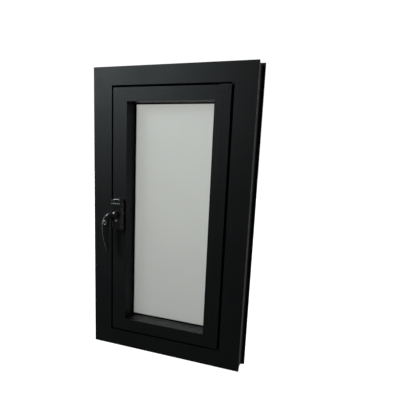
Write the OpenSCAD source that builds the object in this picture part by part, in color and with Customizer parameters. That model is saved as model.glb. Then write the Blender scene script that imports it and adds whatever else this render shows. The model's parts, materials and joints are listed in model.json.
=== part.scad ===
// Side-hung casement window, opening inwards: frame, sash, glass and a cranked locking handle.
// X runs to the right as seen from the room, Y runs outwards through the wall and Z runs up.
// Every bar is drawn from the room face of the frame (y = 0) and from the outer edge of its
// room flange, and placed() then moves the whole window so that the origin is in the middle of
// the underside of the sill's outside flange.

/* [Frame] */
// Width of the frame across its room flanges
frame_w = 512; // [420:2:900]
// Height of the frame across its room flanges
frame_h = 900; // [780:2:1500]
// Depth of the frame from its room face to its outside face
frame_depth = 70; // [68:0.5:76]
// Width of a jamb's face seen from the room
jamb_face = 64; // [58:0.5:80]
// Height of the head's and the sill's face seen from the room
rail_face = 54; // [48:0.5:70]
// How far the outside flange reaches past the room flange
flange_out = 4; // [2:0.5:8]
// Length of each outer flange along the depth
flange_len = 9; // [6:0.5:12]
// Wall thickness of the aluminium
wall = 2; // [1.6:0.1:2.4]

/* [Sash] */
// Gap seen all round between frame and sash
gap = 7; // [6:0.5:9]
// How far the sash stands proud of the frame on the room side
sash_proud = 3; // [1:0.5:5]
// Width of the stile's face outside the glazing bead
stile_strip = 22; // [20:0.5:26]
// Height of a rail's face outside the glazing bead
rail_strip = 18.5; // [17:0.5:24]
// Width of the upright glazing beads
stile_bead = 25.5; // [23:0.5:32]
// Height of the level glazing beads
rail_bead = 21.5; // [21:0.5:30]
// Depth of the glass behind the frame's room face
glass_y = 53; // [50:0.5:54]
// Thickness of the pane
pane_t = 6; // [4:0.5:6]

/* [Handle] */
// Height of the handle's spindle above the sill's room flange
handle_z = 455; // [400:5:700]
// Distance from the stile's edge to the spindle
backset = 24; // [23:0.5:25]
// Width of the handle's base
base_w = 38; // [32:1:42]
// Height of the handle's base
base_h = 102; // [90:1:130]
// How far the handle's base stands off the sash
base_t = 24; // [18:1:28]
// Length of the lever from the spindle to its tip
lever_len = 122; // [110:1:140]
// How far the lever is cranked to the side of the spindle
crank = 27; // [18:1:32]
// Thickness of the lever's blade
lever_t = 12; // [9:0.5:14]
// Side of the square spindle
spindle_side = 7; // [6:0.5:8]
// Module of the drive gear's teeth
tooth_module = 1.5; // [1.4:0.05:1.5]

/* [Hinges] */
// Length of the hinge plates along the sill and the head
hinge_len = 40; // [36:1:60]
// Radius of the hinge pin
pin_r = 2; // [1.6:0.1:2.1]

/* [Fixings] */
// Diameter of the wall fixing holes through the jambs
fixing_d = 7.5; // [6:0.5:8]
// Distance of the first wall fixing hole from the frame's end
fixing_end = 150; // [120:5:250]

/* [Hidden] */
$fn = 48;
eps = 0.01;
black = "#2b2d2f";
dark = "#1b1c1e";
steel = "#a9adb0";
rubber = "#121314";
nylon = "#8f9287";

fit = 0.3;                                   // clearance round loose pieces
run = 0.05;                                  // clearance of pins and screws in their bores
lip = 6;                                     // lip over the gap at the room face
recess = 3;                                  // side wall set back behind the flanges
break_y = 27;                                // start of the thermal break, from the room face
break_len = 16;                              // length of the thermal break
bite = 1.5;                                  // depth of the grooves that hold the break
break_t = 2;                                 // thickness of the break's strips
break_in = 1;                                // strips in from the bar's faces
lip_t = wall + 0.4;                          // thickness of the lip
thick = wall + 0.5;                          // walls that carry a groove or the stop
cleat_gap = 2.5;                             // corner cleats from their hollow's walls
far = 300;                                   // longer than any cut along the depth needs
past = 1;                                    // how far cuts run past a face
outer_y = break_y + break_len;               // start of the outside shells

frame_lock_x = -frame_w / 2;                 // outer edge of the lock jamb
sash_x = frame_w / 2 - jamb_face - gap;      // half width of the sash body
sash_z0 = rail_face + gap;                   // underside of the sash body
sash_z1 = frame_h - rail_face - gap;         // top of the sash body
jamb_wall = jamb_face - lip;                 // jamb's wall behind the lip
stop_reach = lip + gap + 8;                  // reach of the frame's outside stop past that wall
stop_t = 4;                                  // thickness of the stop where it carries the seal
seal_w = 4;                                  // width of the seal on the stop
seal_t = 2;                                  // thickness of that seal
seal_gap = 0.2;                              // seal to the sash's outside face
// outside face of the sash
sash_back = frame_depth - stop_t - seal_t - seal_gap;
bead_seat = 9;                               // depth at which the beads seat on the sash
stile_tube = stile_strip + 13;               // depth of the stile's hollow in its plane
rail_tube = rail_strip + 8;                  // the same for a rail
bead_back = glass_y - 3;                     // end of a bead, in front of its gasket
gasket_show = 3.5;                           // gasket seen past the bead
gasket_in = 4;                               // gaskets held under the beads and the outside lip
gasket_out = 6;
bead_fit = 0.2;                              // bead to the sash's walls
shadow_y = 33;                               // depth of the shadow groove in a bead
shadow_w = 1.2;
block_len = 60;                              // length of a setting block
block_end = 90;                              // upright setting blocks from the pane's ends
pane_back = glass_y + pane_t;                // outside face of the pane
glass_lip_y = sash_back - 3;                 // room side of the lip that holds the glass
edge_room = 4;                               // room round the pane for setting blocks
glass_x = sash_x - stile_tube - edge_room;   // half width of the pane
glass_z0 = sash_z0 + rail_tube + edge_room;
glass_z1 = sash_z1 - rail_tube - edge_room;
cover_x = stile_strip + stile_bead;          // reach of the outside lip over the glass
cover_z = rail_strip + rail_bead;
sight_x = sash_x - cover_x;                  // half width between the upright beads
sight_z0 = sash_z0 + cover_z;
sight_z1 = sash_z1 - cover_z;

frame_cleat = [75, 26];                      // length and width of the cleats' legs
sash_room_cleat = [60, 14];
sash_outer_cleat = [60, 18];

groove_y0 = 8;                               // hardware groove in the stile's edge
groove_y1 = 24;
groove_deep = 6;
groove_lip_t = wall - 0.2;                   // thickness of the groove's lips
mouth_y0 = 11;                               // mouth of the groove
mouth_y1 = 21;
rod_t = 2.8;                                 // thickness of the drive rods
rod_u = 2.2;                                 // rods' depth in the groove
drive_y = (mouth_y0 + mouth_y1) / 2;         // line of the rods, cams and keeps

spindle_x = -sash_x + backset;
gear_teeth = 14;                             // teeth of the full gear that the sector is cut from
gear_pitch_r = tooth_module * gear_teeth / 2;
stroke = gear_pitch_r * PI / 2;              // travel of the rods for a quarter turn
screw_pitch = 21.5;                          // handle screws above and below the spindle
base_screw_r = 2.5;
base_screw_head = [4.5, 3];                  // radius and height of their heads
link_slot_d = 3;                             // half depth of the slot for the rack's link
link_slot_end = 12;                          // slot past the rack's travel
link_half = 10;                              // half height of that link
link_d = 2;                                  // and its half depth
link_bite = 0.5;                             // link's overlap with the rack
small_screw_r = 1.6;                         // screws of the keeps and hinges
small_head = [3, 1.5];                       // radius and height of their heads
case_u0 = groove_deep + wall + fit;
case_u1 = stile_tube - wall - fit;
case_y0 = mouth_y0 + fit;
case_y1 = break_y - wall - fit;
case_half = 40;                              // half height of the gearbox
case_wall = 1.4;
gear_y0 = case_y0 + case_wall + fit;
gear_y1 = case_y1 - case_wall - fit;
cam_reach = 245;                             // cams above and below the spindle
cam_z = [handle_z - cam_reach, handle_z + cam_reach];
cam_neck = [3.5, 4.7];                       // radius and length of a cam's neck
cam_head = [5, 2.5];                         // and of its mushroom head
guide_len = 24;
guide_z = [handle_z - 330, handle_z - 150, handle_z + 150, handle_z + 330];
rod_end = 345;                               // reach of the rods from the spindle

face_y = -sash_proud;                        // room face of the sash
cover_y = face_y - base_t;                   // front of the handle's base
lever_y1 = cover_y - 9;                      // back of the lever's blade
lever_y0 = lever_y1 - lever_t;               // front of the lever's blade
hub_r = 10.5;
spindle_bore = 6;                            // hole for the spindle through sash and plate
lock_x = spindle_x - crank;                  // middle of the lock in the lever's elbow
lock_z = handle_z - 25;
lock_ring_r = 7;
lock_barrel_r = 5;
lock_deep = 9;                               // depth of the lock's bore in the lever
lock_proud = 1.5;                            // ring in front of the lever
barrel_y1 = lever_y0 + 7.3;                  // inner end of the lock's barrel
keyway = [1.2, 6.4, 5];                      // width, height and depth of the keyway
hub_drop = 8;                                // hub's front behind the front of the blade
socket_y = lever_y0 + hub_drop + 3;          // end of the spindle's socket in the lever

axis_x = sash_x + gap / 2;                   // hinge axis, in the middle of the gap
axis_y = (gap - 1) / 2 - 1;                   // and just behind the frame's room face
leaf_t = 2.8;                                // thickness of the hinge plates
eye_r = gap / 2 - 0.2;                       // radius of the plates' eyes
hinge_screw_l = 6;                           // reach of the hinge screws into the bars
hinge_leaf_y1 = mouth_y1 + 3;                // outside edge of the hinge plates
frame_eye_z = rail_face + 0.6;               // underside of the frame bracket's eye
sash_eye_z = sash_z0 - leaf_t;               // underside of the sash plate
hinge_seat_z = rail_face - lip;              // face of the bar under the frame bracket
hinge_x0 = axis_x - hinge_len;               // end of the hinge plates
frame_screw_x = [hinge_x0 + 6, hinge_x0 + 18];
sash_screw_x = [hinge_x0 + 10, hinge_x0 + 24];
sash_screw_y = axis_y + 2;
fixing_z = [fixing_end, frame_h - fixing_end];
fixing_y = 15;                               // fixing holes from the room face

// Puts the window's drawing frame in its own frame: origin under the sill's outside flange.
module placed() {
    translate([0, flange_len / 2 - frame_depth, flange_out]) children();
}

// A bar whose section is drawn in (distance in from its outer edge, depth).
module upright(x_outer, z0, z1, side) {
    translate([x_outer, 0, z0])
        mirror([side > 0 ? 1 : 0, 0, 0])
            linear_extrude(z1 - z0) children();
}
module level(z_outer, x_half, up) {
    translate([0, 0, z_outer])
        mirror([0, 0, up > 0 ? 0 : 1])
            translate([x_half, 0, 0])
                rotate([0, -90, 0])
                    linear_extrude(2 * x_half) children();
}
// A prism along the depth whose outline is drawn in (x, z).
module prism(y0, y1) {
    translate([0, y1, 0]) rotate([90, 0, 0]) linear_extrude(y1 - y0) children();
}
// A round bar along the depth.
module pin_y(x, z, r, y0, y1, sides = 48) {
    translate([x, y1, z]) rotate([90, 0, 0]) cylinder(h = y1 - y0, r = r, $fn = sides);
}
// A round bar along X.
module pin_x(y, z, r, x0, x1) {
    translate([x0, y, z]) rotate([0, 90, 0]) cylinder(h = x1 - x0, r = r);
}
// A block from one corner to the other.
module block(a, b) {
    translate(a) cube(b - a);
}
module rect(a, b) {
    translate(a) square(b - a);
}
// The part of a bar's length that its mitres leave, as seen from the room.
module mitre(which, hx, z0, z1, over, wide, tall) {
    ox = hx + over;
    low = z0 - over;
    high = z1 + over;
    ix = hx - wide;
    pts = which == "sill" ? [[-ox, low], [ox, low], [ix, z0 + tall], [-ix, z0 + tall]]
        : which == "head" ? [[-ox, high], [-ix, z1 - tall], [ix, z1 - tall], [ox, high]]
        : which == "left" ? [[-ox, low], [-ix, z0 + tall], [-ix, z1 - tall], [-ox, high]]
        : [[ox, low], [ox, high], [ix, z1 - tall], [ix, z0 + tall]];
    prism(-far, far) polygon(pts);
}

// ---- Frame ----

module frame_room_section(face) {
    inner = face - lip;
    difference() {
        polygon([[0, 0], [face, 0], [face, lip_t], [inner, lip_t], [inner, break_y],
                 [recess, break_y], [recess, flange_len], [0, flange_len]]);
        rect([recess + wall, lip_t], [inner - wall, break_y - thick]);
        break_grooves(inner, break_y - bite, break_y + eps);
    }
}
// The outside shell, with a stop that the sash closes against.
module frame_outer_section(face) {
    inner = face - lip;
    edge = inner + stop_reach;
    difference() {
        polygon([[recess, outer_y], [inner, outer_y], [inner, frame_depth - thick],
                 [edge - seal_w, frame_depth - thick], [edge - seal_w, frame_depth - stop_t],
                 [edge, frame_depth - stop_t], [edge, frame_depth], [-flange_out, frame_depth],
                 [-flange_out, frame_depth - flange_len], [recess, frame_depth - flange_len]]);
        rect([recess + wall, outer_y + thick], [inner - wall, frame_depth - wall]);
        break_grooves(inner, outer_y - eps, outer_y + bite);
    }
}
// The two strips of a thermal break, between the room shell and the outside shell.
module break_grooves(inner, y0, y1, start = recess) {
    rect([start + break_in, y0], [start + break_in + break_t, y1]);
    rect([inner - break_in - break_t, y0], [inner - break_in, y1]);
}
module frame_cut(which) {
    mitre(which, frame_w / 2, 0, frame_h, 0, jamb_face, rail_face);
}
module frame_outer_cut(which) {
    more = stop_reach - lip;
    mitre(which, frame_w / 2, 0, frame_h, flange_out, jamb_face + more, rail_face + more);
}
module frame_level(up) {
    level(up > 0 ? 0 : frame_h, frame_w / 2 + flange_out, up) children();
}
module frame_upright(side) {
    upright(side * frame_w / 2, -flange_out, frame_h + flange_out, side) children();
}
module fixing_holes(side) {
    x0 = side > 0 ? frame_w / 2 - jamb_face : -frame_w / 2 - past;
    for (z = fixing_z) pin_x(fixing_y, z, fixing_d / 2, x0, x0 + jamb_face + past);
}
module keep_pilots() {
    for (z = cam_z, s = [-1, 1])
        pin_x(drive_y, z + keep_mid + s * keep_screw_pitch, small_screw_r + run,
              keep_x - keep_screw_l - past, keep_x + eps);
}
module drain_slots() {
    for (x = drain_x)
        block([x - drain_l / 2, frame_depth - stop_t, drain_z],
              [x + drain_l / 2, frame_depth + past, drain_z + drain_h]);
}
module frame_sill() {
    color(black) placed() difference() {
        intersection() {
            frame_level(1) frame_room_section(rail_face);
            frame_cut("sill");
        }
        hinge_frame_shanks(run);
    }
}
module frame_head() {
    color(black) placed() difference() {
        intersection() {
            frame_level(-1) frame_room_section(rail_face);
            frame_cut("head");
        }
        hinge_frame_shanks(run);
    }
}
module frame_jamb_lock_side() {
    color(black) placed() difference() {
        intersection() {
            frame_upright(-1) frame_room_section(jamb_face);
            frame_cut("left");
        }
        fixing_holes(-1);
        keep_pilots();
    }
}
module frame_jamb_hinge_side() {
    color(black) placed() difference() {
        intersection() {
            frame_upright(1) frame_room_section(jamb_face);
            frame_cut("right");
        }
        fixing_holes(1);
    }
}
module frame_outer_sill() {
    color(dark) placed() difference() {
        intersection() {
            frame_level(1) frame_outer_section(rail_face);
            frame_outer_cut("sill");
        }
        drain_slots();
    }
}
module frame_outer_head() {
    color(dark) placed() intersection() {
        frame_level(-1) frame_outer_section(rail_face);
        frame_outer_cut("head");
    }
}
module frame_outer_jamb_lock_side() {
    color(dark) placed() intersection() {
        frame_upright(-1) frame_outer_section(jamb_face);
        frame_outer_cut("left");
    }
}
module frame_outer_jamb_hinge_side() {
    color(dark) placed() intersection() {
        frame_upright(1) frame_outer_section(jamb_face);
        frame_outer_cut("right");
    }
}
module frame_thermal_breaks() {
    y0 = break_y - bite;
    y1 = outer_y + bite;
    color(nylon) placed() for (which = ["sill", "head", "left", "right"]) intersection() {
        union() {
            if (which == "sill") frame_level(1) break_grooves(rail_face - lip, y0, y1);
            if (which == "head") frame_level(-1) break_grooves(rail_face - lip, y0, y1);
            if (which == "left") frame_upright(-1) break_grooves(jamb_wall, y0, y1);
            if (which == "right") frame_upright(1) break_grooves(jamb_wall, y0, y1);
        }
        frame_cut(which);
        frame_outer_cut(which);
    }
}
// Angle cleats in the hollows at each mitre; size is [length, width] of a leg.
module cleat(hx, z0, z1, in, size, y0, y1) {
    for (sx = [-1, 1], top = [0, 1]) {
        zc = top > 0 ? z1 : z0;
        dir = top > 0 ? -1 : 1;
        translate([sx * hx, 0, zc]) mirror([sx > 0 ? 1 : 0, 0, 0]) mirror([0, 0, dir < 0 ? 1 : 0])
            prism(y0, y1) translate([in, in]) difference() {
                square(size[0]);
                translate([size[1], size[1]]) square(size[0]);
            }
    }
}
module frame_corner_cleats() {
    start = recess + wall + fit;
    color(steel) placed() {
        cleat(frame_w / 2, 0, frame_h, start, frame_cleat,
              lip_t + cleat_gap, break_y - thick - cleat_gap);
        cleat(frame_w / 2, 0, frame_h, start, frame_cleat,
              outer_y + thick + cleat_gap, frame_depth - wall - cleat_gap);
    }
}

// ---- Sash ----

module sash_room_section(strip, tube) {
    difference() {
        polygon([[0, face_y], [strip, face_y], [strip, bead_seat], [tube, bead_seat],
                 [tube, break_y], [0, break_y]]);
        rect([wall, face_y + wall], [strip - wall, groove_y0 - wall]);
        rect([groove_deep + wall, mouth_y0], [tube - wall, break_y - wall]);
        rect([groove_lip_t, groove_y0], [groove_deep, groove_y1]);
        rect([-past, mouth_y0], [wall, mouth_y1]);
        break_grooves(tube, break_y - bite, break_y + eps, 0);
    }
}
module sash_outer_section(tube, cover) {
    difference() {
        polygon([[0, outer_y], [tube, outer_y], [tube, glass_lip_y], [cover, glass_lip_y],
                 [cover, sash_back], [0, sash_back]]);
        rect([wall, outer_y + thick], [tube - wall, sash_back - wall]);
        break_grooves(tube, outer_y - eps, outer_y + bite, 0);
    }
}
module sash_cut(which) {
    mitre(which, sash_x, sash_z0, sash_z1, 0, stile_strip, rail_strip);
}
module sash_outer_cut(which) {
    mitre(which, sash_x, sash_z0, sash_z1, 0, cover_x, cover_z);
}
module sash_level(up) {
    level(up > 0 ? sash_z0 : sash_z1, sash_x, up) children();
}
module sash_upright(side) {
    upright(side * sash_x, sash_z0, sash_z1, side) children();
}
module handle_holes() {
    pin_y(spindle_x, handle_z, spindle_bore, face_y - past, case_y0);
    base_screws_at() pin_y(0, 0, base_screw_r + fit, face_y - past, case_y0);
}
module link_slot() {
    block([-sash_x + groove_deep - past, drive_y - link_slot_d, handle_z - stroke - link_slot_end],
          [-sash_x + groove_deep + wall + past, drive_y + link_slot_d, handle_z + link_slot_end]);
}
module sash_bottom_rail() {
    color(black) placed() difference() {
        intersection() {
            sash_level(1) sash_room_section(rail_strip, rail_tube);
            sash_cut("sill");
        }
        hinge_sash_shanks(run);
    }
}
module sash_top_rail() {
    color(black) placed() difference() {
        intersection() {
            sash_level(-1) sash_room_section(rail_strip, rail_tube);
            sash_cut("head");
        }
        hinge_sash_shanks(run);
    }
}
module sash_lock_stile() {
    color(black) placed() difference() {
        intersection() {
            sash_upright(-1) sash_room_section(stile_strip, stile_tube);
            sash_cut("left");
        }
        handle_holes();
        link_slot();
    }
}
module sash_hinge_stile() {
    color(black) placed() intersection() {
        sash_upright(1) sash_room_section(stile_strip, stile_tube);
        sash_cut("right");
    }
}
module sash_outer_bottom_rail() {
    color(dark) placed() intersection() {
        sash_level(1) sash_outer_section(rail_tube, cover_z);
        sash_outer_cut("sill");
    }
}
module sash_outer_top_rail() {
    color(dark) placed() intersection() {
        sash_level(-1) sash_outer_section(rail_tube, cover_z);
        sash_outer_cut("head");
    }
}
module sash_outer_lock_stile() {
    color(dark) placed() intersection() {
        sash_upright(-1) sash_outer_section(stile_tube, cover_x);
        sash_outer_cut("left");
    }
}
module sash_outer_hinge_stile() {
    color(dark) placed() intersection() {
        sash_upright(1) sash_outer_section(stile_tube, cover_x);
        sash_outer_cut("right");
    }
}
module sash_thermal_breaks() {
    y0 = break_y - bite;
    y1 = outer_y + bite;
    color(nylon) placed() for (which = ["sill", "head", "left", "right"]) intersection() {
        union() {
            if (which == "sill") sash_level(1) break_grooves(rail_tube, y0, y1, 0);
            if (which == "head") sash_level(-1) break_grooves(rail_tube, y0, y1, 0);
            if (which == "left") sash_upright(-1) break_grooves(stile_tube, y0, y1, 0);
            if (which == "right") sash_upright(1) break_grooves(stile_tube, y0, y1, 0);
        }
        sash_cut(which);
        sash_outer_cut(which);
    }
}
module sash_corner_cleats() {
    start = groove_deep + wall + fit;
    color(steel) placed() {
        cleat(sash_x, sash_z0, sash_z1, start, sash_room_cleat,
              mouth_y0 + cleat_gap, break_y - wall - cleat_gap);
        cleat(sash_x, sash_z0, sash_z1, wall + fit, sash_outer_cleat,
              outer_y + thick + cleat_gap, sash_back - wall - cleat_gap);
    }
}
// A rectangular ring between two outlines centred on the sash.
module ring(hx, z0, z1, wide, y0, y1) {
    prism(y0, y1) difference() {
        rect([-hx, z0], [hx, z1]);
        rect([wide - hx, z0 + wide], [hx - wide, z1 - wide]);
    }
}
// The seal on the frame's stop, which the sash closes against.
module frame_stop_seal() {
    in = seal_w + lip - stop_reach;
    color(rubber) placed()
        ring(frame_w / 2 - jamb_face + in, rail_face - in, frame_h - rail_face + in, seal_w,
             frame_depth - stop_t - seal_t, frame_depth - stop_t);
}

// ---- Glazing ----

module glass_pane() {
    color("#9fb0a4") placed()
        block([-glass_x, glass_y, glass_z0], [glass_x, pane_back, glass_z1]);
}
module gasket_ring(under, y0, y1, show) {
    prism(y0, y1) difference() {
        rect([-sight_x - under, sight_z0 - under], [sight_x + under, sight_z1 + under]);
        rect([show - sight_x, sight_z0 + show], [sight_x - show, sight_z1 - show]);
    }
}
module glass_inner_gasket() {
    color(rubber) placed() gasket_ring(gasket_in, bead_back, glass_y, gasket_show);
}
module glass_outer_gasket() {
    color(rubber) placed() gasket_ring(gasket_out, pane_back, glass_lip_y, 0);
}
module setting_blocks() {
    half = block_len / 2;
    color(dark) placed() {
        for (s = [-1, 1], z = [glass_z0 - edge_room, glass_z1])
            block([s * glass_x / 2 - half, glass_y, z],
                  [s * glass_x / 2 + half, pane_back, z + edge_room]);
        for (x = [-glass_x - edge_room, glass_x], z = [glass_z0 + block_end, glass_z1 - block_end])
            block([x, glass_y, z - half], [x + edge_room, pane_back, z + half]);
    }
}
// A hollow snap-in bead: a nose over the sash's seat, a wall down to the glass and a foot.
module bead_section(strip, bead, tube) {
    edge = strip + bead;
    inner = edge - wall - past;
    difference() {
        polygon([[strip, face_y], [edge, face_y], [edge, shadow_y], [edge - past, shadow_y],
                 [edge - past, shadow_y + shadow_w], [edge, shadow_y + shadow_w],
                 [edge, bead_back], [tube + bead_fit, bead_back],
                 [tube + bead_fit, bead_seat], [strip, bead_seat]]);
        rect([strip + wall, face_y + wall], [inner, bead_seat - wall]);
        rect([tube + bead_fit + wall, bead_seat], [inner, bead_back - wall]);
    }
}
module upright_bead(side) {
    difference() {
        upright(side * sash_x, sash_z0 + rail_strip, sash_z1 - rail_strip, side)
            bead_section(stile_strip, stile_bead, stile_tube);
        for (z = [[sash_z0, sash_z0 + rail_tube + bead_fit],
                  [sash_z1 - rail_tube - bead_fit, sash_z1]])
            block([-sash_x, bead_seat, z[0]], [sash_x, far, z[1]]);
    }
}
module level_bead(up) {
    level(up > 0 ? sash_z0 : sash_z1, sight_x, up) bead_section(rail_strip, rail_bead, rail_tube);
}
module bead_lock_side() {
    color(black) placed() difference() {
        upright_bead(-1);
        handle_holes();
    }
}
module bead_hinge_side() {
    color(black) placed() upright_bead(1);
}
module bead_top() {
    color(black) placed() level_bead(-1);
}
module bead_bottom() {
    color(black) placed() level_bead(1);
}

// ---- Hinges ----

// The same thing at the sill and, turned over, at the head.
module both_ends() {
    children();
    translate([0, 0, frame_h]) mirror([0, 0, 1]) children();
}
module pin_z(x, y, r, z0, z1) {
    translate([x, y, z0]) cylinder(h = z1 - z0, r = r);
}
module hinge_frame_shanks(more = 0) {
    both_ends() for (x = frame_screw_x)
        pin_z(x, drive_y, small_screw_r + more, hinge_seat_z - hinge_screw_l,
              hinge_seat_z + leaf_t);
}
module hinge_sash_shanks(more = 0) {
    both_ends() for (x = sash_screw_x)
        pin_z(x, sash_screw_y, small_screw_r + more, sash_eye_z, sash_z0 + hinge_screw_l);
}
module hinge_frame_brackets() {
    behind_lip = lip_t + 0.6;
    color(dark) placed() difference() {
        both_ends() difference() {
            union() {
                block([hinge_x0, behind_lip, hinge_seat_z],
                      [axis_x + eye_r, hinge_leaf_y1, hinge_seat_z + leaf_t]);
                block([axis_x - eye_r, behind_lip, hinge_seat_z],
                      [axis_x + eye_r, hinge_leaf_y1 / 2, frame_eye_z + leaf_t]);
                block([axis_x - eye_r, axis_y, frame_eye_z],
                      [axis_x + eye_r, behind_lip + past, frame_eye_z + leaf_t]);
                pin_z(axis_x, axis_y, eye_r, frame_eye_z, frame_eye_z + leaf_t);
            }
            pin_z(axis_x, axis_y, pin_r + run, frame_eye_z - past, frame_eye_z + leaf_t + past);
        }
        hinge_frame_shanks(run);
    }
}
module hinge_sash_plates() {
    color(dark) placed() difference() {
        both_ends() difference() {
            union() {
                block([hinge_x0, axis_y - past, sash_eye_z], [sash_x, hinge_leaf_y1, sash_z0]);
                block([sash_x - past, axis_y - eye_r, sash_eye_z],
                      [axis_x, axis_y + eye_r, sash_z0]);
                pin_z(axis_x, axis_y, eye_r, sash_eye_z, sash_z0);
            }
            pin_z(axis_x, axis_y, pin_r + run, sash_eye_z - past, sash_z0 + past);
        }
        hinge_sash_shanks(run);
    }
}
module hinge_pins() {
    color(steel) placed() both_ends() pin_z(axis_x, axis_y, pin_r, frame_eye_z, sash_z0);
}
// Each hinge screw is a shank with a low round head on its plate.
module hinge_frame_screws() {
    color(steel) placed() {
        hinge_frame_shanks();
        both_ends() for (x = frame_screw_x)
            pin_z(x, drive_y, small_head[0], hinge_seat_z + leaf_t,
                  hinge_seat_z + leaf_t + small_head[1]);
    }
}
module hinge_sash_screws() {
    color(steel) placed() {
        hinge_sash_shanks();
        both_ends() for (x = sash_screw_x)
            pin_z(x, sash_screw_y, small_head[0], sash_eye_z - small_head[1], sash_eye_z);
    }
}

// ---- Handle ----

plate_t = 4;
cover_wall = 2.4;
base_top_rise = 5;
boss_t = 2.5;                                // height of the raised boss under the hub
boss_r = 12;
boss_drop = 28;                              // middle of the boss below the spindle

// Outline of the base: square shoulders under a shallow dome.
module base_outline(inset) {
    w = base_w - 2 * inset;
    h = base_h - 2 * inset;
    shoulder = h / 2 - base_top_rise;
    dome = (w * w / 4 + base_top_rise * base_top_rise) / (2 * base_top_rise);
    translate([spindle_x, handle_z]) {
        translate([-w / 2, -h / 2]) square([w, h / 2 + shoulder]);
        intersection() {
            translate([-w / 2, shoulder - 1]) square([w, base_top_rise + 1]);
            translate([0, h / 2 - dome]) circle(r = dome, $fn = 180);
        }
    }
}
module base_screws_at() {
    for (s = [-1, 1]) translate([spindle_x, 0, handle_z + s * screw_pitch]) children();
}
module handle_base_plate() {
    color(dark) placed() difference() {
        prism(face_y - plate_t, face_y) base_outline(cover_wall + fit);
        pin_y(spindle_x, handle_z, spindle_bore, face_y - plate_t - past, face_y + past);
        base_screws_at() pin_y(0, 0, base_screw_r + run, face_y - plate_t - past, face_y + past);
    }
}
module handle_cover() {
    color(black) placed() difference() {
        union() {
            prism(cover_y, face_y) base_outline(0);
            prism(cover_y - boss_t, cover_y + eps) translate([spindle_x, handle_z - boss_drop]) {
                circle(r = boss_r);
                translate([-boss_r, -1.3 * boss_r]) square([2 * boss_r, 1.3 * boss_r]);
            }
        }
        prism(cover_y + cover_wall, face_y + eps) base_outline(cover_wall);
        pin_y(spindle_x, handle_z, hub_r + fit, cover_y - boss_t - past,
              cover_y + cover_wall + past);
    }
}
module handle_screws() {
    head_y = face_y - plate_t;
    color(steel) placed() base_screws_at() {
        pin_y(0, 0, base_screw_head[0], head_y - base_screw_head[1], head_y);
        pin_y(0, 0, base_screw_r, head_y, gear_y1 - past);
    }
}
// The lever's middle line from hub to tip, as [x, z, radius, how far its front stands back].
lever_line = [[0, 0, hub_r, hub_drop], [-crank * 0.5, -2, 9.5, hub_drop / 2],
              [-crank, -16, 10.5, 0], [-crank - 1, -lever_len * 0.45, 11.5, 0],
              [-crank + 2, -lever_len * 0.75, 9.5, 0], [-crank + 9, -lever_len + 5, 5, 0]];
module lever_disc(p) {
    pin_y(spindle_x + p[0], handle_z + p[1], p[2], lever_y0 + p[3], lever_y1, 32);
}
module handle_lever() {
    color(black) placed() difference() {
        union() {
            pin_y(spindle_x, handle_z, hub_r, lever_y0 + hub_drop, cover_y + cover_wall);
            for (i = [0 : len(lever_line) - 2]) hull() {
                lever_disc(lever_line[i]);
                lever_disc(lever_line[i + 1]);
            }
        }
        pin_y(lock_x, lock_z, lock_ring_r, lever_y0 - past, lever_y0 + lock_deep);
        spindle_bar(spindle_side / 2 + run, socket_y, cover_y + cover_wall + past);
    }
}
module spindle_bar(half, y0, y1) {
    block([spindle_x - half, y0, handle_z - half], [spindle_x + half, y1, handle_z + half]);
}
module handle_spindle() {
    color(steel) placed() spindle_bar(spindle_side / 2, socket_y + 0.2, gear_y1 + past);
}
module handle_lock_ring() {
    color(steel) placed() difference() {
        pin_y(lock_x, lock_z, lock_ring_r - run, lever_y0 - lock_proud, lever_y0 + lock_deep - 0.2);
        pin_y(lock_x, lock_z, lock_barrel_r + run, lever_y0 - lock_proud - past, barrel_y1 + 0.2);
    }
}
module handle_lock_barrel() {
    color(steel) placed() difference() {
        pin_y(lock_x, lock_z, lock_barrel_r, lever_y0 - lock_proud + 0.5, barrel_y1);
        block([lock_x - keyway[0] / 2, lever_y0 - lock_proud - past, lock_z - keyway[1] / 2],
              [lock_x + keyway[0] / 2, lever_y0 + keyway[2], lock_z + keyway[1] / 2]);
    }
}

// ---- Drive ----

tooth_pitch = PI * tooth_module;
backlash = 0.35;
gear_hub_r = 6.8;                            // plain part of the gear round its square hole

// A tooth drawn along +X from the pitch line, for gear and rack alike.
module tooth(pitch_x) {
    root = tooth_pitch / 4 + 0.45 * tooth_module - backlash / 2;
    tip = tooth_pitch / 4 - 0.42 * tooth_module - backlash / 2;
    translate([pitch_x, 0])
        polygon([[-1.25 * tooth_module, -root], [0.85 * tooth_module, -tip],
                 [0.85 * tooth_module, tip], [-1.25 * tooth_module, root]]);
}
module drive_gear() {
    root_r = gear_pitch_r - 1.2 * tooth_module;
    step = 360 / gear_teeth;
    color(steel) placed() difference() {
        prism(gear_y0, gear_y1) translate([spindle_x, handle_z]) {
            circle(r = gear_hub_r);
            intersection() {
                circle(r = root_r);
                polygon([[0, 0], [-far, -0.6 * far], [-far, far], [0.3 * far, far]]);
            }
            for (i = [-1 : 4]) rotate(180 - i * step) tooth(gear_pitch_r);
        }
        spindle_bar(spindle_side / 2 + run, gear_y0 - 1, gear_y1 + 1);
    }
}
module drive_rack() {
    back_x = -sash_x + groove_deep + wall + fit + case_wall + 0.2;
    pitch_x = spindle_x - gear_pitch_r;
    y0 = gear_y0 + past;
    y1 = gear_y1 - past;
    color(steel) placed() {
        prism(y0, y1) {
            rect([back_x, handle_z - 12], [pitch_x - 1.2 * tooth_module, handle_z + stroke + 10]);
            for (i = [0 : 5]) translate([0, handle_z + (i - 0.5) * tooth_pitch])
                tooth(pitch_x);
        }
        block([-sash_x + rod_u + rod_t, drive_y - link_d, handle_z - link_half],
              [back_x + link_bite, drive_y + link_d, handle_z + link_half]);
    }
}
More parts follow.
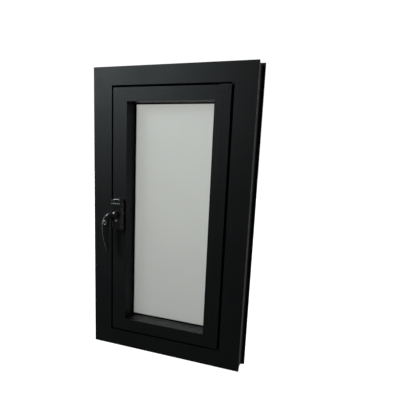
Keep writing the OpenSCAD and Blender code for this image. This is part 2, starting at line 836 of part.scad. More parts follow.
module gearbox_case() {
    x0 = -sash_x + case_u0;
    x1 = -sash_x + case_u1;
    color(steel) placed() difference() {
        union() {
            difference() {
                block([x0, case_y0, handle_z - case_half], [x1, case_y1, handle_z + case_half]);
                block([x0 + case_wall, case_y0 + case_wall, handle_z - case_half + case_wall],
                      [x1 - case_wall, case_y1 - case_wall, handle_z + case_half - case_wall]);
                block([x0 - past, drive_y - link_slot_d, handle_z - stroke - link_slot_end],
                      [x0 + case_wall + past, drive_y + link_slot_d, handle_z + link_slot_end]);
            }
            base_screws_at() pin_y(0, 0, base_screw_head[0], case_y0, case_y1);
        }
        pin_y(spindle_x, handle_z, spindle_bore, case_y0 - past, case_y1 + past);
        base_screws_at() pin_y(0, 0, base_screw_r + run, case_y0 - past, gear_y1);
    }
}
module drive_rods() {
    x0 = -sash_x + rod_u;
    color(steel) placed() block([x0, groove_y0 + 2 * fit, handle_z - rod_end],
                                [x0 + rod_t, groove_y1 - 2 * fit, handle_z + rod_end]);
}
module drive_cams() {
    x = -sash_x + rod_u;
    color(steel) placed() for (z = cam_z) {
        pin_x(drive_y, z, cam_neck[0], x - cam_neck[1], x);
        pin_x(drive_y, z, cam_head[0], x - cam_neck[1] - cam_head[1], x - cam_neck[1]);
    }
}
// Nylon guides that hold the rods in their groove.
module rod_guides() {
    x = -sash_x;
    color(nylon) placed() for (z = guide_z)
        block([x, mouth_y0 + fit, z - guide_len / 2],
              [x + rod_u, mouth_y1 - fit, z + guide_len / 2]);
}

// ---- Keeps ----

keep_t = 3;
keep_mid = 12;                               // middle of a keep above its cam at rest
keep_screw_pitch = 16;
keep_screw_l = 10;                           // reach of the keep screws into the jamb
keep_half_h = 22;
keep_half_d = 8;
hook_reach = 8.5;                            // reach of a hook from the jamb's wall
hook_t = 3.8;                                // thickness of a hook
hook_z = 6.5;                                // underside of a hook above its cam's middle
keep_x = -frame_w / 2 + jamb_wall;           // face of the jamb under the keeps

// A keep: a plate on the jamb's wall with a hook just above the cam's rest position.
module keeps() {
    front_y = drive_y - keep_half_d;
    color(steel) placed() difference() {
        for (z = cam_z) {
            block([keep_x, front_y, z + keep_mid - keep_half_h],
                  [keep_x + keep_t, drive_y + keep_half_d, z + keep_mid + keep_half_h]);
            block([keep_x + keep_t, front_y, z + hook_z],
                  [keep_x + hook_reach, front_y + hook_t, z + keep_half_h]);
        }
        for (z = cam_z, s = [-1, 1])
            pin_x(drive_y, z + keep_mid + s * keep_screw_pitch, small_screw_r + run,
                  keep_x - past, keep_x + keep_t + past);
    }
}
module keep_screws() {
    color(steel) placed() for (z = cam_z, s = [-1, 1])
        translate([0, 0, z + keep_mid + s * keep_screw_pitch]) {
            pin_x(drive_y, 0, small_screw_r, keep_x - keep_screw_l, keep_x + keep_t);
            pin_x(drive_y, 0, small_head[0], keep_x + keep_t, keep_x + keep_t + small_head[1]);
        }
}

// ---- Drainage ----

drain_x = [-frame_w / 4, frame_w / 4];
drain_l = 24;                                // length, height and place of a drain slot
drain_h = 5;
drain_z = 14;
hood = [40, 5, 13];                          // size of a drain cover
hood_t = [2, 1.5];                           // its wall and its front

// Hooded covers over the drain slots in the sill's outside face.
module drain_covers() {
    z0 = drain_z - 3;
    color(dark) placed() for (x = drain_x) difference() {
        block([x - hood[0] / 2, frame_depth, z0],
              [x + hood[0] / 2, frame_depth + hood[1], z0 + hood[2]]);
        block([x - hood[0] / 2 + hood_t[0], frame_depth - past, z0 - past],
              [x + hood[0] / 2 - hood_t[0], frame_depth + hood[1] - hood_t[1],
               z0 + hood[2] - hood_t[0]]);
    }
}

frame_sill();
frame_head();
frame_jamb_lock_side();
frame_jamb_hinge_side();
frame_outer_sill();
frame_outer_head();
frame_outer_jamb_lock_side();
frame_outer_jamb_hinge_side();
frame_thermal_breaks();
frame_corner_cleats();
sash_bottom_rail();
sash_top_rail();
sash_lock_stile();
sash_hinge_stile();
sash_outer_bottom_rail();
sash_outer_top_rail();
sash_outer_lock_stile();
sash_outer_hinge_stile();
sash_thermal_breaks();
sash_corner_cleats();
frame_stop_seal();
glass_pane();
glass_inner_gasket();
glass_outer_gasket();
setting_blocks();
bead_lock_side();
bead_hinge_side();
bead_top();
bead_bottom();
hinge_frame_brackets();
hinge_sash_plates();
hinge_pins();
hinge_frame_screws();
hinge_sash_screws();
handle_base_plate();
handle_cover();
handle_screws();
handle_lever();
handle_spindle();
handle_lock_ring();
handle_lock_barrel();
drive_gear();
gearbox_case();
drive_rack();
drive_rods();
drive_cams();
rod_guides();
keeps();
keep_screws();
drain_covers();
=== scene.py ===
"""Casement window with a cranked locking handle: finishes for its bars, glass and fittings, a
moulded lever and base cover, and a plain pale studio to stand it in."""

import json
import math

import bmesh
import bpy
from mathutils import Matrix, Vector


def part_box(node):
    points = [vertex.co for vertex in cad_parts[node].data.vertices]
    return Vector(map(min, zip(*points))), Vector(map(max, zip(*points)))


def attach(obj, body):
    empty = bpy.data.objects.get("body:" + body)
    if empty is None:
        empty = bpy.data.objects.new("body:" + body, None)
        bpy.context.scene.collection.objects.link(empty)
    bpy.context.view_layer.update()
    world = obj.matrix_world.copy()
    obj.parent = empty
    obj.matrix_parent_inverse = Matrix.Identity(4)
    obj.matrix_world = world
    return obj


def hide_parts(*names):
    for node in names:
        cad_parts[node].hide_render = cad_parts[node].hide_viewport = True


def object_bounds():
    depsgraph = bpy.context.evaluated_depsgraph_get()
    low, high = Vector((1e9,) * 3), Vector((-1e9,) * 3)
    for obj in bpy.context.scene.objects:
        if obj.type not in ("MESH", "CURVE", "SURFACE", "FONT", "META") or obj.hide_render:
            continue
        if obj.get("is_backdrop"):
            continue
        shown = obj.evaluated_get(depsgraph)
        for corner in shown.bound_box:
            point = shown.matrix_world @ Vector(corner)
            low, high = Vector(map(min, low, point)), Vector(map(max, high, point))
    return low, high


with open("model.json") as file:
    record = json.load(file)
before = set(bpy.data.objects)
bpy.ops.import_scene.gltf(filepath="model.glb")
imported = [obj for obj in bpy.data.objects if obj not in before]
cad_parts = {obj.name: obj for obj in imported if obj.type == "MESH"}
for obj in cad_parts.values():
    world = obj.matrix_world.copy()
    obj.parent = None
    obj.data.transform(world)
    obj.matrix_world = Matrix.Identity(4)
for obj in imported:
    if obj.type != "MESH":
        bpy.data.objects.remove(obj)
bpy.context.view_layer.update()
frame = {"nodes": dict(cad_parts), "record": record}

bl_info = {
    "name": "Casement Window Finishes",
    "version": (1, 0, 0),
    "blender": (4, 5, 0),
    "location": "3D View > Sidebar > Window",
    "description": "Powder coat, glass, seals and a moulded cranked handle for a casement window",
    "category": "Object",
}

MM = 0.001
SLOT_OF = {row["node"]: row["material_slot"] for row in frame["record"]["subparts"]}
LEVER_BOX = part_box("handle_lever")
COVER_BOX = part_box("handle_cover")
RING_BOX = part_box("handle_lock_ring")
SPINDLE_DOWN = 10.5 * MM  # from the lever's top to the spindle's axis
HUB_BACK = 8 * MM  # from the front of the blade back to the hub's face
SECTION_SIDES = 32  # points round the lever's section
BOSS_SIDES = 48  # points round the boss of the base cover
DUST = 0.35  # how much dust lightens the powder coat
BEAD_EASE = 1.8  # a glazing bead's arris, as a multiple of the bars' arris

FLOOR_REACH = 30.0
FLOOR_THICKNESS = 0.02
WALL_RADIUS = 12.0
WALL_HEIGHT = 14.0
WALL_SIDES = 48
LIGHT_COLOUR = (0.9, 1.0, 1.02)
CAMERA_PLACE = (0.49454, -1.20223, 0.6538)
CAMERA_TURNS = ((0.3729, "Z"), (-0.2025, "X"), (-0.0366, "Y"))
CAMERA_SHIFT = (0.0493, 0.0937)


def middle(box):
    """The middle of a (low corner, high corner) box."""
    return (box[0] + box[1]) / 2


# across and up of the axis that the lever turns on
SPINDLE = (middle(COVER_BOX)[0], LEVER_BOX[1][2] - SPINDLE_DOWN)


# ---- Shader sums ----


class Sum:
    """A shader socket that can be used in ordinary sums."""

    def __init__(self, graph, socket):
        self.graph = graph
        self.socket = socket

    def _math(self, operation, a, b):
        return self.graph.node("ShaderNodeMath", {"operation": operation}, {0: a, 1: b})

    def __add__(self, other):
        return self._math("ADD", self, other)

    def __radd__(self, other):
        return self._math("ADD", other, self)

    def __sub__(self, other):
        return self._math("SUBTRACT", self, other)

    def __rsub__(self, other):
        return self._math("SUBTRACT", other, self)

    def __mul__(self, other):
        return self._math("MULTIPLY", self, other)

    def __rmul__(self, other):
        return self._math("MULTIPLY", other, self)

    def between(self, low, high):
        """0 below low, 1 above high, with a soft step between them."""
        return self.graph.node(
            "ShaderNodeMapRange",
            {"interpolation_type": "SMOOTHSTEP"},
            {"Value": self, "From Min": low, "From Max": high},
        )


class Graph:
    """The node tree of a material or a world."""

    def __init__(self, tree):
        self.tree = tree
        tree.nodes.clear()

    def node(self, kind, settings=None, inputs=None, output=0):
        """Adds a node with its settings and its sockets' values or links; gives one output."""
        made = self.tree.nodes.new(kind)
        for key, value in (settings or {}).items():
            setattr(made, key, value)
        for key, value in (inputs or {}).items():
            socket = made.inputs[key]
            if isinstance(value, Sum):
                self.tree.links.new(value.socket, socket)
            else:
                socket.default_value = value
        return Sum(self, made.outputs[output]) if len(made.outputs) else None

    def place(self):
        """The place on the object in metres."""
        return self.node("ShaderNodeTexCoord", output="Object")

    def noise(self, per_metre, detail=2.0, stretch=(1, 1, 1), roughness=0.5):
        """Cloudy noise, with that many lumps to the metre."""
        place = self.node(
            "ShaderNodeMapping", inputs={"Vector": self.place(), "Scale": Vector(stretch)}
        )
        return self.node(
            "ShaderNodeTexNoise",
            inputs={"Vector": place, "Scale": per_metre, "Detail": detail, "Roughness": roughness},
        )

    def tint(self, share, low, high):
        """A colour between two, by share."""
        ends = {0: share, 6: (*low, 1.0), 7: (*high, 1.0)}
        return self.node("ShaderNodeMix", {"data_type": "RGBA"}, ends, 2)

    def bump(self, height, metres):
        """A normal pushed about by height times that many metres."""
        return self.node(
            "ShaderNodeBump", inputs={"Height": height, "Distance": metres, "Strength": 1.0}
        )

    def arris_mask(self, radius):
        """1 on the arrises and 0 on the flats, from how the corner rounding turns the normal."""
        soft = self.node("ShaderNodeBevel", {"samples": 4}, {"Radius": radius})
        flat = self.node("ShaderNodeNewGeometry", output="Normal")
        cosine = self.node(
            "ShaderNodeVectorMath", {"operation": "DOT_PRODUCT"}, {0: soft, 1: flat}, "Value"
        )
        return (1.0 - cosine).between(0.02, 0.16)

    def finish(self, inputs):
        """The surface shader, with its sockets' values or links."""
        shader = self.node("ShaderNodeBsdfPrincipled", inputs=inputs)
        self.node("ShaderNodeOutputMaterial", inputs={"Surface": shader})


def new_material(name):
    """An empty material and its graph."""
    material = bpy.data.materials.new(name)
    material.use_nodes = True
    return material, Graph(material.node_tree)


def shade(colour, factor):
    """A colour made lighter or darker."""
    return tuple(min(1.0, c * factor) for c in colour)


def powder_coat(name, colour, roughness, orange_peel, dust):
    """Baked powder coat: fine orange peel, faint cloudiness and a little dust in scattered
    patches.
    """
    material, g = new_material(name)
    cloud = g.noise(9.0, 3.0)
    speck = g.noise(2600.0, 1.0)
    peel = g.noise(700.0, 2.0)
    # mask of the arrises: it paints a highlight along every eased edge and makes that edge a
    # little glossier
    arris_highlight = g.arris_mask(0.6 * MM)
    dusty = g.noise(34.0, 6.0, roughness=0.7).between(0.56, 0.8)
    # tone: random cloud, speck and dust, plus the painted highlight on the arrises
    tone = (cloud * 0.6 + speck * 0.4) * 0.8 + arris_highlight * 0.5 + dusty * dust
    g.finish(
        {
            "Base Color": g.tint(tone, shade(colour, 0.7), shade(colour, 1.75)),
            "Roughness": roughness - arris_highlight * 0.1 + (cloud - 0.5) * 0.16 + dusty * 0.08,
            "Specular IOR Level": 0.38,
            "Normal": g.bump(peel + speck * 0.5, orange_peel),
        }
    )
    return material


def gloss_paint(name, colour, roughness):
    """Polished black enamel over a die casting: faint waviness under a clear coat."""
    material, g = new_material(name)
    wave = g.noise(120.0, 2.0)
    smear = g.noise(45.0, 5.0, roughness=0.65).between(0.45, 0.75)
    speck = g.noise(1900.0, 1.0)
    g.finish(
        {
            "Base Color": g.tint(wave * 0.5 + speck * 0.5, shade(colour, 0.7), shade(colour, 1.5)),
            "Roughness": roughness + smear * 0.12,
            "Specular IOR Level": 0.6,
            "Coat Weight": 0.85 - smear * 0.35,
            "Coat Roughness": 0.07,
            "Normal": g.bump(wave + speck * 0.15, 0.03 * MM),
        }
    )
    return material


def bright_metal(name, colour, roughness, stretch, per_metre, depth):
    """Plated, polished or mill-finished metal, with brush lines along one direction."""
    material, g = new_material(name)
    lines = g.noise(per_metre, 4.0, stretch)
    blotch = g.noise(60.0, 4.0).between(0.35, 0.75)
    g.finish(
        {
            "Base Color": g.tint(lines * 0.5 + blotch * 0.5, shade(colour, 0.78), colour),
            "Metallic": 1.0,
            "Roughness": roughness + lines * 0.12 + blotch * 0.08,
            "Normal": g.bump(lines, depth),
        }
    )
    return material


def moulded_plastic(name, colour, roughness, grain):
    """Moulded or extruded plastic with a fine spark-eroded grain."""
    material, g = new_material(name)
    fine = g.noise(1500.0, 2.0)
    cloud = g.noise(22.0, 4.0)
    g.finish(
        {
            "Base Color": g.tint(cloud * 0.7 + fine * 0.3, shade(colour, 0.8), shade(colour, 1.2)),
            "Roughness": roughness + (fine - 0.5) * 0.2,
            "Specular IOR Level": 0.4,
            "Normal": g.bump(fine, grain),
        }
    )
    return material


def seal_rubber(name, colour):
    """Extruded rubber: matt, with the die's lines and a little bloom."""
    material, g = new_material(name)
    bloom = g.noise(70.0, 5.0, roughness=0.7).between(0.5, 0.85)
    fine = g.noise(1200.0, 2.0)
    g.finish(
        {
            "Base Color": g.tint(bloom * 0.6 + fine * 0.2, colour, shade(colour, 3.0)),
            "Roughness": 0.72 + bloom * 0.12,
            "Specular IOR Level": 0.3,
            "Normal": g.bump(fine, 0.05 * MM),
        }
    )
    return material


def etched_glass(name, colour, roughness, clear):
    """Acid-etched glass: a fine satin grain, slightly uneven, that lets soft light through."""
    material, g = new_material(name)
    grain = g.noise(3200.0, 2.0)
    cloud = g.noise(5.0, 3.0)
    tone = cloud * 0.8 + grain * 0.2
    g.finish(
        {
            "Base Color": g.tint(tone, shade(colour, 0.94), shade(colour, 1.05)),
            "Roughness": roughness + (grain - 0.5) * 0.12,
            "IOR": 1.5,
            "Transmission Weight": clear,
            "Normal": g.bump(grain, 0.02 * MM),
        }
    )
    return material


# ---- Meshes ----


def mesh_object(name, bm):
    """An object in the scene from a bmesh."""
    mesh = bpy.data.meshes.new(name)
    bmesh.ops.recalc_face_normals(bm, faces=bm.faces)
    bm.to_mesh(mesh)
    bm.free()
    obj = bpy.data.objects.new(name, mesh)
    bpy.context.scene.collection.objects.link(obj)
    return obj


def loft(bm, loops, caps=True):
    """Joins closed loops of points, each with the same number of points, into a skin."""
    rings = [[bm.verts.new(p) for p in loop] for loop in loops]
    count = len(rings[0])
    for near, far in zip(rings, rings[1:]):
        for i in range(count):
            j = (i + 1) % count
            bm.faces.new((near[i], near[j], far[j], far[i]))
    if caps:
        bm.faces.new(rings[0])
        bm.faces.new(rings[-1])


def smooth_path(points, steps):
    """A smooth line through points, each a tuple of numbers, with that many steps a stretch."""
    ends = [points[0], *points, points[-1]]
    line = []
    for k in range(1, len(ends) - 2):
        p0, p1, p2, p3 = (Vector(ends[k + d]) for d in (-1, 0, 1, 2))
        for s in range(steps):
            t = s / steps
            line.append(
                0.5
                * (
                    2 * p1
                    + (p2 - p0) * t
                    + (2 * p0 - 5 * p1 + 4 * p2 - p3) * t**2
                    + (3 * p1 - p0 - 3 * p2 + p3) * t**3
                )
            )
    line.append(Vector(points[-1]))
    return line


def bake(obj):
    """Applies an object's modifiers to its mesh."""
    graph = bpy.context.evaluated_depsgraph_get()
    mesh = bpy.data.meshes.new_from_object(obj.evaluated_get(graph))
    obj.modifiers.clear()
    obj.data = mesh


def rounded(obj, voxel, passes):
    """Fuses an object's overlapping shells into one skin and eases its edges, for good."""
    remesh = obj.modifiers.new("fuse", "REMESH")
    remesh.mode = "VOXEL"
    remesh.voxel_size = voxel
    ease = obj.modifiers.new("ease", "SMOOTH")
    ease.factor = 0.5
    ease.iterations = passes
    bake(obj)
    for polygon in obj.data.polygons:
        polygon.use_smooth = True
    return obj


def circle(count):
    """The cosine and sine of each of that many even steps round a circle."""
    angles = [2 * math.pi * k / count for k in range(count)]
    return [(math.cos(a), math.sin(a)) for a in angles]


def squared(share, power):
    """A cosine or sine bent so that a circle swells towards a square."""
    return math.copysign(abs(share) ** power, share)


def disc(bm, centre, profile):
    """A turned shape round a line along Y: profile is a list of (radius, y)."""
    x, z = centre
    loft(bm, [[(x + r * c, y, z + r * s) for c, s in circle(64)] for r, y in profile])


def pierce(obj, centre, radius, y0, y1):
    """Cuts a round hole along Y, for good."""
    bm = bmesh.new()
    disc(bm, centre, [(radius, y0), (radius, y1)])
    cutter = mesh_object("cutter", bm)
    cut = obj.modifiers.new("hole", "BOOLEAN")
    cut.operation = "DIFFERENCE"
    cut.object = cutter
    cut.solver = "EXACT"
    bake(obj)
    bpy.data.objects.remove(cutter)


# ---- Settings ----


class WindowFinishSettings(bpy.types.PropertyGroup):
    """Colours and grain of the window's bars, glass and seals."""

    coat_colour: bpy.props.FloatVectorProperty(
        name="Coat Colour",
        description="Colour of the powder coat on frame, sash and beads",
        default=(0.0085, 0.0088, 0.0092),
        size=3,
        min=0.0,
        max=1.0,
        subtype="COLOR",
    )
    coat_roughness: bpy.props.FloatProperty(
        name="Coat Roughness",
        description="How matt the powder coat is",
        default=0.46,
        min=0.0,
        max=1.0,
        subtype="FACTOR",
    )
    orange_peel: bpy.props.FloatProperty(
        name="Orange Peel",
        description="Depth of the powder coat's fine texture",
        default=0.03 * MM,
        min=0.0,
        max=0.5 * MM,
        precision=6,
        unit="LENGTH",
    )
    arris: bpy.props.FloatProperty(
        name="Arris",
        description="Width of the eased edges on the bars",
        default=0.7 * MM,
        min=0.0,
        max=2 * MM,
        precision=5,
        unit="LENGTH",
    )
    glass_colour: bpy.props.FloatVectorProperty(
        name="Glass Colour",
        description="Colour of the etched glass",
        default=(0.76, 0.78, 0.74),
        size=3,
        min=0.0,
        max=1.0,
        subtype="COLOR",
    )
    light_through: bpy.props.FloatProperty(
        name="Light Through Glass",
        description="Share of the light that the etched glass lets through",
        default=0.8,
        min=0.0,
        max=1.0,
        subtype="FACTOR",
    )


class WindowHandleSettings(bpy.types.PropertyGroup):
    """Shape and finish of the handle's lever and base cover."""

    paint_colour: bpy.props.FloatVectorProperty(
        name="Handle Colour",
        description="Colour of the handle's enamel",
        default=(0.006, 0.006, 0.0065),
        size=3,
        min=0.0,
        max=1.0,
        subtype="COLOR",
    )
    paint_roughness: bpy.props.FloatProperty(
        name="Handle Roughness",
        description="How matt the handle's enamel is",
        default=0.16,
        min=0.0,
        max=1.0,
        subtype="FACTOR",
    )
    blade_width: bpy.props.FloatProperty(
        name="Blade Width",
        description="Widest part of the lever's blade",
        default=22 * MM,
        min=12 * MM,
        max=24 * MM,
        unit="LENGTH",
    )
    voxel: bpy.props.FloatProperty(
        name="Mesh Size",
        description="Size of the mesh on the moulded pieces",
        default=0.7 * MM,
        min=0.3 * MM,
        max=2 * MM,
        precision=5,
        unit="LENGTH",
    )


class WindowStageSettings(bpy.types.PropertyGroup):
    """Camera and light."""

    focal_length: bpy.props.FloatProperty(
        name="Focal Length",
        description="Focal length of the camera's lens in millimetres",
        default=36.73,
        min=10.0,
        max=200.0,
        subtype="DISTANCE_CAMERA",
    )
    key_power: bpy.props.FloatProperty(
        name="Key Light",
        description="Power of the soft light at the upper left",
        default=19.0,
        min=0.0,
        max=500.0,
        unit="POWER",
    )
    front_level: bpy.props.FloatProperty(
        name="Room Brightness",
        description="Brightness of the studio on the room side of the window",
        default=0.06,
        min=0.0,
        max=2.0,
    )


# ---- Pieces ----


def paint(obj, material):
    """Gives an object one material in place of what it had."""
    obj.data.materials.clear()
    obj.data.materials.append(material)


def coat(slot, material, arris=0):
    """Puts a finish on the CAD nodes with a material slot, with their edges eased by an arris."""
    nodes = [n for n in frame["nodes"] if SLOT_OF[n] == slot]
    if not nodes:
        raise RuntimeError(f"no CAD node has the material slot {slot}")
    for name in nodes:
        obj = frame["nodes"][name]
        paint(obj, material)
        if arris <= 0:
            continue
        weld = obj.modifiers.new("weld", "WELD")
        weld.merge_threshold = 0.002 * MM
        flat = obj.modifiers.new("flat", "DECIMATE")
        flat.decimate_type = "DISSOLVE"
        flat.angle_limit = math.radians(0.5)
        ease = obj.modifiers.new("arris", "BEVEL")
        ease.width = arris
        ease.segments = 2
        ease.limit_method = "ANGLE"
        ease.angle_limit = math.radians(50)
        ease.use_clamp_overlap = True
        ease.harden_normals = True


class WINDOW_OT_coat_bars(bpy.types.Operator):
    """Coat frame, sash, beads, hinges and keeps"""

    bl_idname = "window.coat_bars"
    bl_label = "Coat Bars and Hinges"

    def execute(self, context):
        s = context.scene.window_finish
        # slot, how light its coat is, how wide its arris is
        bars = [
            ("frame_coat", 1.0, 1.0),
            ("sash_coat", 1.05, 1.0),
            ("bead_coat", 1.1, BEAD_EASE),
            ("hinge_coat", 0.9, 1.0),
        ]
        for slot, tone, ease in bars:
            colour = shade(s.coat_colour, tone)
            name = f"powder coat {slot}"
            coat(
                slot,
                powder_coat(name, colour, s.coat_roughness, s.orange_peel, DUST),
                s.arris * ease,
            )
        return {"FINISHED"}


class WINDOW_OT_glaze(bpy.types.Operator):
    """Etch the glass and finish gaskets, seal, setting blocks and rod guides"""

    bl_idname = "window.glaze"
    bl_label = "Glaze"

    def execute(self, context):
        s = context.scene.window_finish
        glass = etched_glass("etched glass", s.glass_colour, 0.5, s.light_through)
        coat("frosted_glass", glass)
        rubber = seal_rubber("seal rubber", (0.004, 0.004, 0.0042))
        coat("seal_rubber", rubber, 0.3 * MM)
        blocks = moulded_plastic("block plastic", (0.03, 0.03, 0.032), 0.55, 0.04 * MM)
        coat("block_plastic", blocks, 0.3 * MM)
        return {"FINISHED"}


class WINDOW_OT_finish_metal(bpy.types.Operator):
    """Finish lock parts, screws, cleats, thermal breaks and drain covers"""

    bl_idname = "window.finish_metal"
    bl_label = "Finish Hardware"

    def execute(self, context):
        mill = bright_metal(
            "mill aluminium", (0.62, 0.63, 0.64), 0.32, (1, 1, 0.03), 900.0, 0.03 * MM
        )
        coat("mill_aluminium", mill, 0.2 * MM)
        zinc = bright_metal("zinc plate", (0.56, 0.57, 0.56), 0.28, (1, 1, 0.2), 1100.0, 0.02 * MM)
        coat("zinc_steel", zinc)
        breaks = moulded_plastic("polyamide", (0.32, 0.33, 0.27), 0.62, 0.08 * MM)
        coat("polyamide", breaks)
        covers = moulded_plastic("cover plastic", (0.012, 0.012, 0.013), 0.5, 0.05 * MM)
        coat("cover_plastic", covers, 0.6 * MM)
        return {"FINISHED"}


def lever_loops(width):
    """Cross-sections of the lever's arm and blade from the hub to the tip."""
    low, high = LEVER_BOX
    front = low[1]
    reach = high[2] - low[2] - SPINDLE_DOWN
    out = middle(RING_BOX)[0] - SPINDLE[0]
    # across, down, half width, half thickness, depth of the middle line behind the front
    stations = [
        (1 * MM, -0.5 * MM, 8.2 * MM, 5.0 * MM, 15.0 * MM),
        (0.35 * out, -1 * MM, 8.4 * MM, 5.4 * MM, 11.5 * MM),
        (0.72 * out, -7 * MM, 9.4 * MM, 5.8 * MM, 7.6 * MM),
        (0.98 * out, -20 * MM, 10.4 * MM, 6.0 * MM, 6.0 * MM),
        (1.05 * out, -34 * MM, 0.5 * width, 5.6 * MM, 6.4 * MM),
        (1.05 * out, -56 * MM, 0.5 * width, 4.8 * MM, 7.0 * MM),
        (0.98 * out, -78 * MM, 0.45 * width, 4.2 * MM, 7.4 * MM),
        (0.86 * out, -96 * MM, 0.36 * width, 3.6 * MM, 7.8 * MM),
        (0.70 * out, 6 * MM - reach, 0.25 * width, 2.9 * MM, 8.2 * MM),
        (0.62 * out, 1.6 * MM - reach, 0.13 * width, 1.8 * MM, 8.4 * MM),
    ]
    line = smooth_path(stations, 8)
    loops = []
    for k, p in enumerate(line):
        ahead, back = line[min(k + 1, len(line) - 1)], line[max(k - 1, 0)]
        along = Vector((ahead[0] - back[0], ahead[1] - back[1])).normalized()
        side = Vector((-along[1], along[0]))
        loop = []
        for c, s in circle(SECTION_SIDES):
            wide, thick = p[2] * squared(c, 0.72), p[3] * squared(s, 0.72)
            loop.append(
                (
                    SPINDLE[0] + p[0] + side[0] * wide,
                    front + p[4] + thick,
                    SPINDLE[1] + p[1] + side[1] * wide,
                )
            )
        loops.append(loop)
    return loops


class WINDOW_OT_mould_lever(bpy.types.Operator):
    """Mould the cranked lever with its hub and lock boss"""

    bl_idname = "window.mould_lever"
    bl_label = "Mould Lever"

    def execute(self, context):
        s = context.scene.window_handle
        front = LEVER_BOX[0][1]
        lock = middle(RING_BOX)
        bm = bmesh.new()
        loft(bm, lever_loops(s.blade_width))
        back = COVER_BOX[0][1] + 3 * MM
        face = front + HUB_BACK
        disc(
            bm,
            SPINDLE,
            [
                (9.2 * MM, back),
                (10.3 * MM, back - 1 * MM),
                (10.4 * MM, face + 4.8 * MM),
                (9.4 * MM, face + 2.9 * MM),
                (4.5 * MM, face + 0.7 * MM),
                (2.0 * MM, face + 0.1 * MM),
            ],
        )
        disc(
            bm,
            (lock[0], lock[2]),
            [
                (9.4 * MM, front + 9 * MM),
                (9.4 * MM, front + 2.0 * MM),
                (8.8 * MM, front + 0.6 * MM),
                (7.4 * MM, front + 0.2 * MM),
            ],
        )
        lever = rounded(mesh_object("lever", bm), s.voxel, 6)
        pierce(lever, (lock[0], lock[2]), 7 * MM, front - 3 * MM, front + 8.9 * MM)
        paint(lever, gloss_paint("handle enamel", s.paint_colour, s.paint_roughness))
        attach(lever, "handle")
        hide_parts("handle_lever")
        return {"FINISHED"}


def base_outline(inset, count=96):
    """The base's outline in (x, z): a rounded oblong under a shallow dome, drawn in by inset."""
    low, high = COVER_BOX
    centre = middle(COVER_BOX)
    half_w = (high[0] - low[0]) / 2 - inset
    top, bottom = high[2] - inset, low[2] + inset
    z_half = (top - bottom) / 2
    rise, corner = 4.5 * MM, max(0.4 * MM, 2.5 * MM - inset)
    cx, cz = half_w - corner, z_half - corner
    out = []
    for k in range(count):
        a = 2 * math.pi * (k + 0.5) / count
        dx, dz = math.cos(a), math.sin(a)
        # an oblong, with more points towards its corners
        x = half_w * max(-1, min(1, 1.45 * dx / max(abs(dx), abs(dz))))
        z = z_half * max(-1, min(1, 1.45 * dz / max(abs(dx), abs(dz))))
        # its rounded corners
        if abs(x) > cx and abs(z) > cz:
            d = Vector((abs(x) - cx, abs(z) - cz)).normalized() * corner
            x, z = math.copysign(cx + d[0], x), math.copysign(cz + d[1], z)
        # the dome's fall towards both sides
        if z > 0:
            z -= rise * (x / half_w) ** 2 * (z / z_half)
        out.append((centre[0] + x, (top + bottom) / 2 + z))
    return out


class WINDOW_OT_mould_cover(bpy.types.Operator):
    """Mould the handle's base cover with its domed top, step and boss"""

    bl_idname = "window.mould_cover"
    bl_label = "Mould Base Cover"

    def execute(self, context):
        s = context.scene.window_handle
        low, high = COVER_BOX
        front = low[1] + 2.5 * MM
        back = high[1]
        bm = bmesh.new()
        steps = [(0, back), (0.3, back - 8 * MM), (0.7, front + 6 * MM), (1.2, front + 4.6 * MM)]
        steps += [(3.8, front + 3.3 * MM), (5.5, front + 3.0 * MM)]
        loft(bm, [[(x, y, z) for x, z in base_outline(i * MM)] for i, y in steps])
        # the raised face under the step
        face = [(1.2, front + 6 * MM), (1.6, front + 0.8 * MM), (2.4, front), (4.5, front)]
        loops = []
        for inset, y in face:
            loop = []
            for x, z in base_outline(inset * MM):
                loop.append((x, y, min(z, high[2] - (15 + inset) * MM)))
            loops.append(loop)
        loft(bm, loops)
        # the boss under the hub
        boss = []
        for share, rise in ((1.0, -1.0), (0.97, 0.9), (0.82, 2.1), (0.5, 2.5)):
            y = front - rise * MM
            loop = []
            for across, up in circle(BOSS_SIDES):
                x = 12 * MM * squared(across, 0.8) * share
                z = (13.5 if up > 0 else 15.5) * MM * squared(up, 0.8) * share
                loop.append((SPINDLE[0] + x, y, SPINDLE[1] - 31 * MM + z))
            boss.append(loop)
        loft(bm, boss)
        cover = rounded(mesh_object("base_cover", bm), s.voxel, 4)
        pierce(cover, SPINDLE, 10.9 * MM, low[1] - 3 * MM, front + 6 * MM)
        colour = shade(s.paint_colour, 1.2)
        paint(cover, gloss_paint("cover enamel", colour, s.paint_roughness + 0.08))
        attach(cover, "sash")
        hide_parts("handle_cover")
        return {"FINISHED"}


class WINDOW_OT_plate_lock(bpy.types.Operator):
    """Chrome the lock's ring and barrel"""

    bl_idname = "window.plate_lock"
    bl_label = "Plate Lock"

    def execute(self, context):
        chrome = bright_metal("lock chrome", (0.9, 0.91, 0.92), 0.1, (1, 1, 1), 400.0, 0.005 * MM)
        coat("lock_chrome", chrome, 0.8 * MM)
        return {"FINISHED"}


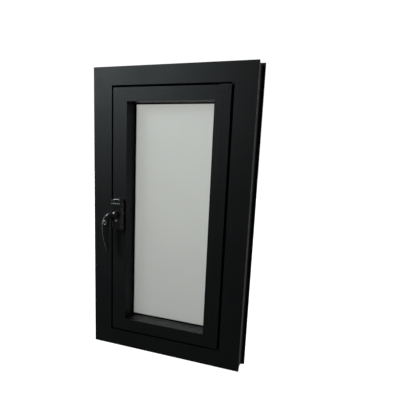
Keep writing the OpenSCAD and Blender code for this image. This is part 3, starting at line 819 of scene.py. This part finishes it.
class WINDOW_OT_set_stage(bpy.types.Operator):
    """Lay the floor, put the wall round it, light it and set the camera"""

    bl_idname = "window.set_stage"
    bl_label = "Set Stage"

    def execute(self, context):
        s = context.scene.window_stage
        scene = context.scene
        scene.view_settings.view_transform = "Standard"

        bm = bmesh.new()
        r = FLOOR_REACH
        loft(
            bm,
            [[(-r, -r, z), (r, -r, z), (r, r, z), (-r, r, z)] for z in (0.0, -FLOOR_THICKNESS)],
        )
        floor = mesh_object("studio_floor", bm)

        bm = bmesh.new()
        r = WALL_RADIUS
        ring = circle(WALL_SIDES)
        loft(bm, [[(r * c, r * sn, z) for c, sn in ring] for z in (0.0, WALL_HEIGHT)], caps=False)
        wall = mesh_object("studio_wall", bm)

        material, g = new_material("pale floor")
        g.finish(
            {
                "Base Color": (0.86, 0.86, 0.86, 1),
                "Roughness": 0.8,
                "Emission Color": (1, 1, 1, 1),
                "Emission Strength": 1.0,
            }
        )
        # kept out of reflections, which would turn the black bars grey
        for piece in (floor, wall):
            paint(piece, material)
            piece.visible_glossy = False
            piece.visible_diffuse = False
            piece.visible_transmission = False
            piece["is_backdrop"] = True
        wall.visible_shadow = False

        # bright outside the window, dimmer low down, dark to the right
        world = bpy.data.worlds.new("studio")
        scene.world = world
        world.use_nodes = True
        g = Graph(world.node_tree)
        way = g.node("ShaderNodeTexCoord", output="Generated")
        outside, height, flag = (
            g.node("ShaderNodeSeparateXYZ", None, {0: way}, axis).between(low, high)
            for axis, low, high in (("Y", 0.0, 0.35), ("Z", -0.65, 0.1), ("X", 0.12, 0.3))
        )
        lit = outside * (1.0 - flag * 0.92) * (0.55 + height * 0.45)
        level = s.front_level + lit * (1.05 - s.front_level)
        back = g.node("ShaderNodeBackground", inputs={"Color": (1, 1, 1, 1), "Strength": level})
        g.node("ShaderNodeOutputWorld", inputs={"Surface": back})

        centre = middle(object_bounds())
        # name, place from the window's middle, size, power
        lights = [
            ("key", (-1.3, -1.6, 1.1), (0.95, 0.95), s.key_power),
            ("accent", (-1.8, -1.05, 0.25), (0.12, 0.5), 0.06 * s.key_power),
        ]
        for name, offset, size, power in lights:
            light = bpy.data.lights.new(name, "AREA")
            light.shape = "RECTANGLE"
            light.size, light.size_y = size
            light.energy = power
            light.color = LIGHT_COLOUR
            obj = bpy.data.objects.new(name, light)
            obj.location = centre + Vector(offset)
            obj.rotation_mode = "QUATERNION"
            obj.rotation_quaternion = (-Vector(offset)).to_track_quat("-Z", "Y")
            scene.collection.objects.link(obj)

        lens = bpy.data.cameras.new("camera")
        lens.sensor_width = 36.0
        lens.lens = s.focal_length
        lens.shift_x, lens.shift_y = CAMERA_SHIFT
        camera = bpy.data.objects.new("camera", lens)
        pan, tilt, roll = (Matrix.Rotation(angle, 3, axis) for angle, axis in CAMERA_TURNS)
        right, ahead, up = (pan @ tilt @ roll).col
        camera.matrix_world = Matrix.Translation(CAMERA_PLACE) @ Matrix(
            [(right[i], up[i], -ahead[i]) for i in range(3)]
        ).to_4x4()
        scene.collection.objects.link(camera)
        scene.camera = camera
        return {"FINISHED"}


class WINDOW_PT_panel(bpy.types.Panel):
    """Settings and steps of the casement window"""

    bl_idname = "WINDOW_PT_panel"
    bl_label = "Casement Window"
    bl_space_type = "VIEW_3D"
    bl_region_type = "UI"
    bl_category = "Window"

    def draw(self, context):
        scene = context.scene
        for group in (scene.window_finish, scene.window_handle, scene.window_stage):
            box = self.layout.box()
            for key in group.__annotations__:
                box.prop(group, key)
        for operator in OPERATORS:
            self.layout.operator(operator.bl_idname)


GROUPS = {
    "window_finish": WindowFinishSettings,
    "window_handle": WindowHandleSettings,
    "window_stage": WindowStageSettings,
}
OPERATORS = (
    WINDOW_OT_coat_bars,
    WINDOW_OT_glaze,
    WINDOW_OT_finish_metal,
    WINDOW_OT_mould_cover,
    WINDOW_OT_mould_lever,
    WINDOW_OT_plate_lock,
    WINDOW_OT_set_stage,
)


def register():
    """Adds the settings, operators and panel."""
    for cls in (*GROUPS.values(), *OPERATORS, WINDOW_PT_panel):
        bpy.utils.register_class(cls)
    for name, cls in GROUPS.items():
        setattr(bpy.types.Scene, name, bpy.props.PointerProperty(type=cls))


def unregister():
    """Takes the settings, operators and panel away."""
    for name in GROUPS:
        delattr(bpy.types.Scene, name)
    for cls in reversed((*GROUPS.values(), *OPERATORS, WINDOW_PT_panel)):
        bpy.utils.unregister_class(cls)


def main():
    """Makes every piece in order."""
    register()
    bpy.ops.window.coat_bars()
    bpy.ops.window.glaze()
    bpy.ops.window.finish_metal()
    bpy.ops.window.mould_cover()
    bpy.ops.window.mould_lever()
    bpy.ops.window.plate_lock()
    bpy.ops.window.set_stage()


if __name__ == "__main__":
    main()
